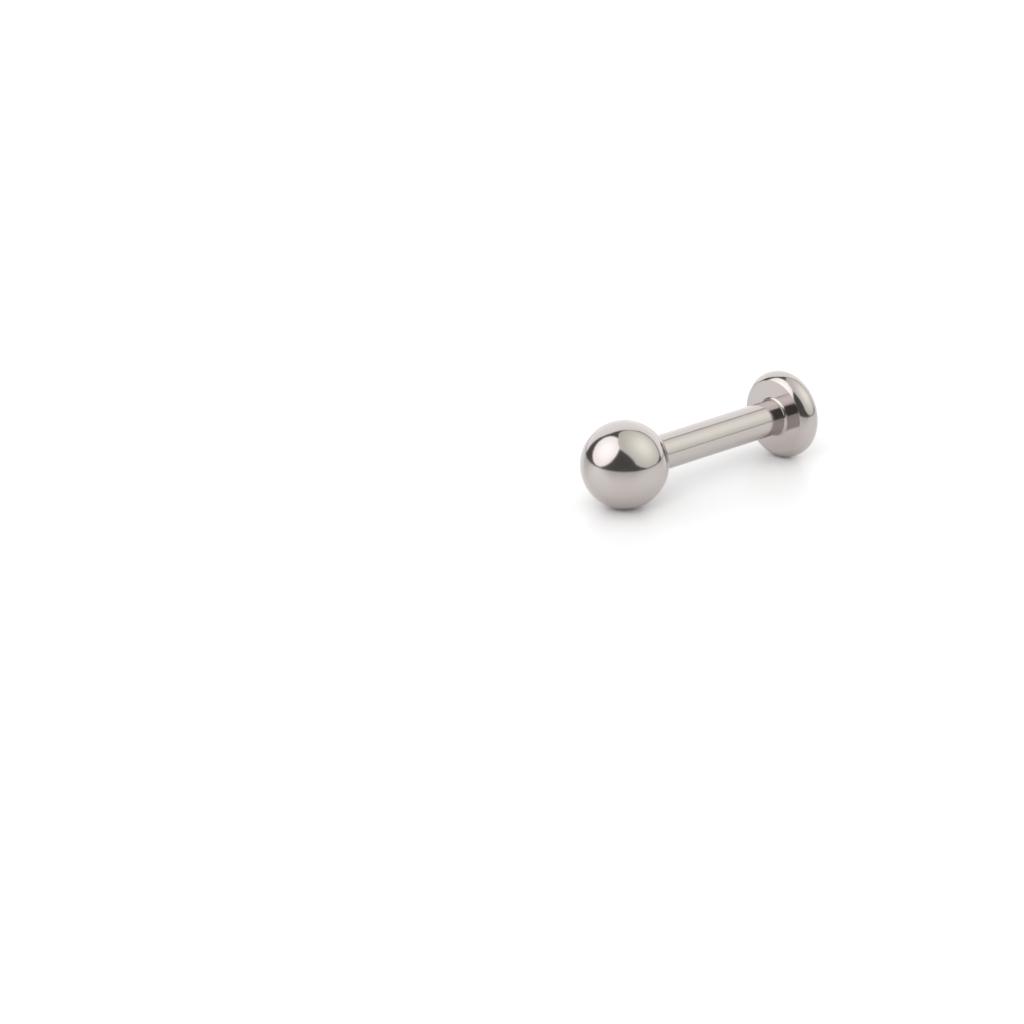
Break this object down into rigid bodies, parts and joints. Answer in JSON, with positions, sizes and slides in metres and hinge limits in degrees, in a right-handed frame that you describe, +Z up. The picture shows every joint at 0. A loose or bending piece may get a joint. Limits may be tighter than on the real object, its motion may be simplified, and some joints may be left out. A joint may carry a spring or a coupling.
{
  "type": "labret stud",
  "caption": "Polished labret stud for a lip piercing: a round bar with a flat backing disc at one end and a screw-on ball at the other.",
  "frame": {"origin": "on the ground plane, below the middle of the stud's length", "axes": "+X along the bar, from the ball to the disc; +Z up, away from the surface that the stud lies on"},
  "size_m": [0.0126, 0.004, 0.004],
  "materials": {
    "post_metal": "surgical steel, mirror polished",
    "ball_metal": "surgical steel, mirror polished"
  },
  "bodies": {
    "post": {"post": "post_metal"},
    "ball": {"ball": "ball_metal"}
  },
  "joints": [
    {"name": "ball_unscrew", "type": "slide", "parent": "post", "child": "ball", "axis": [-1, 0, 0], "range_m": [0, 0.014]}
  ]
}
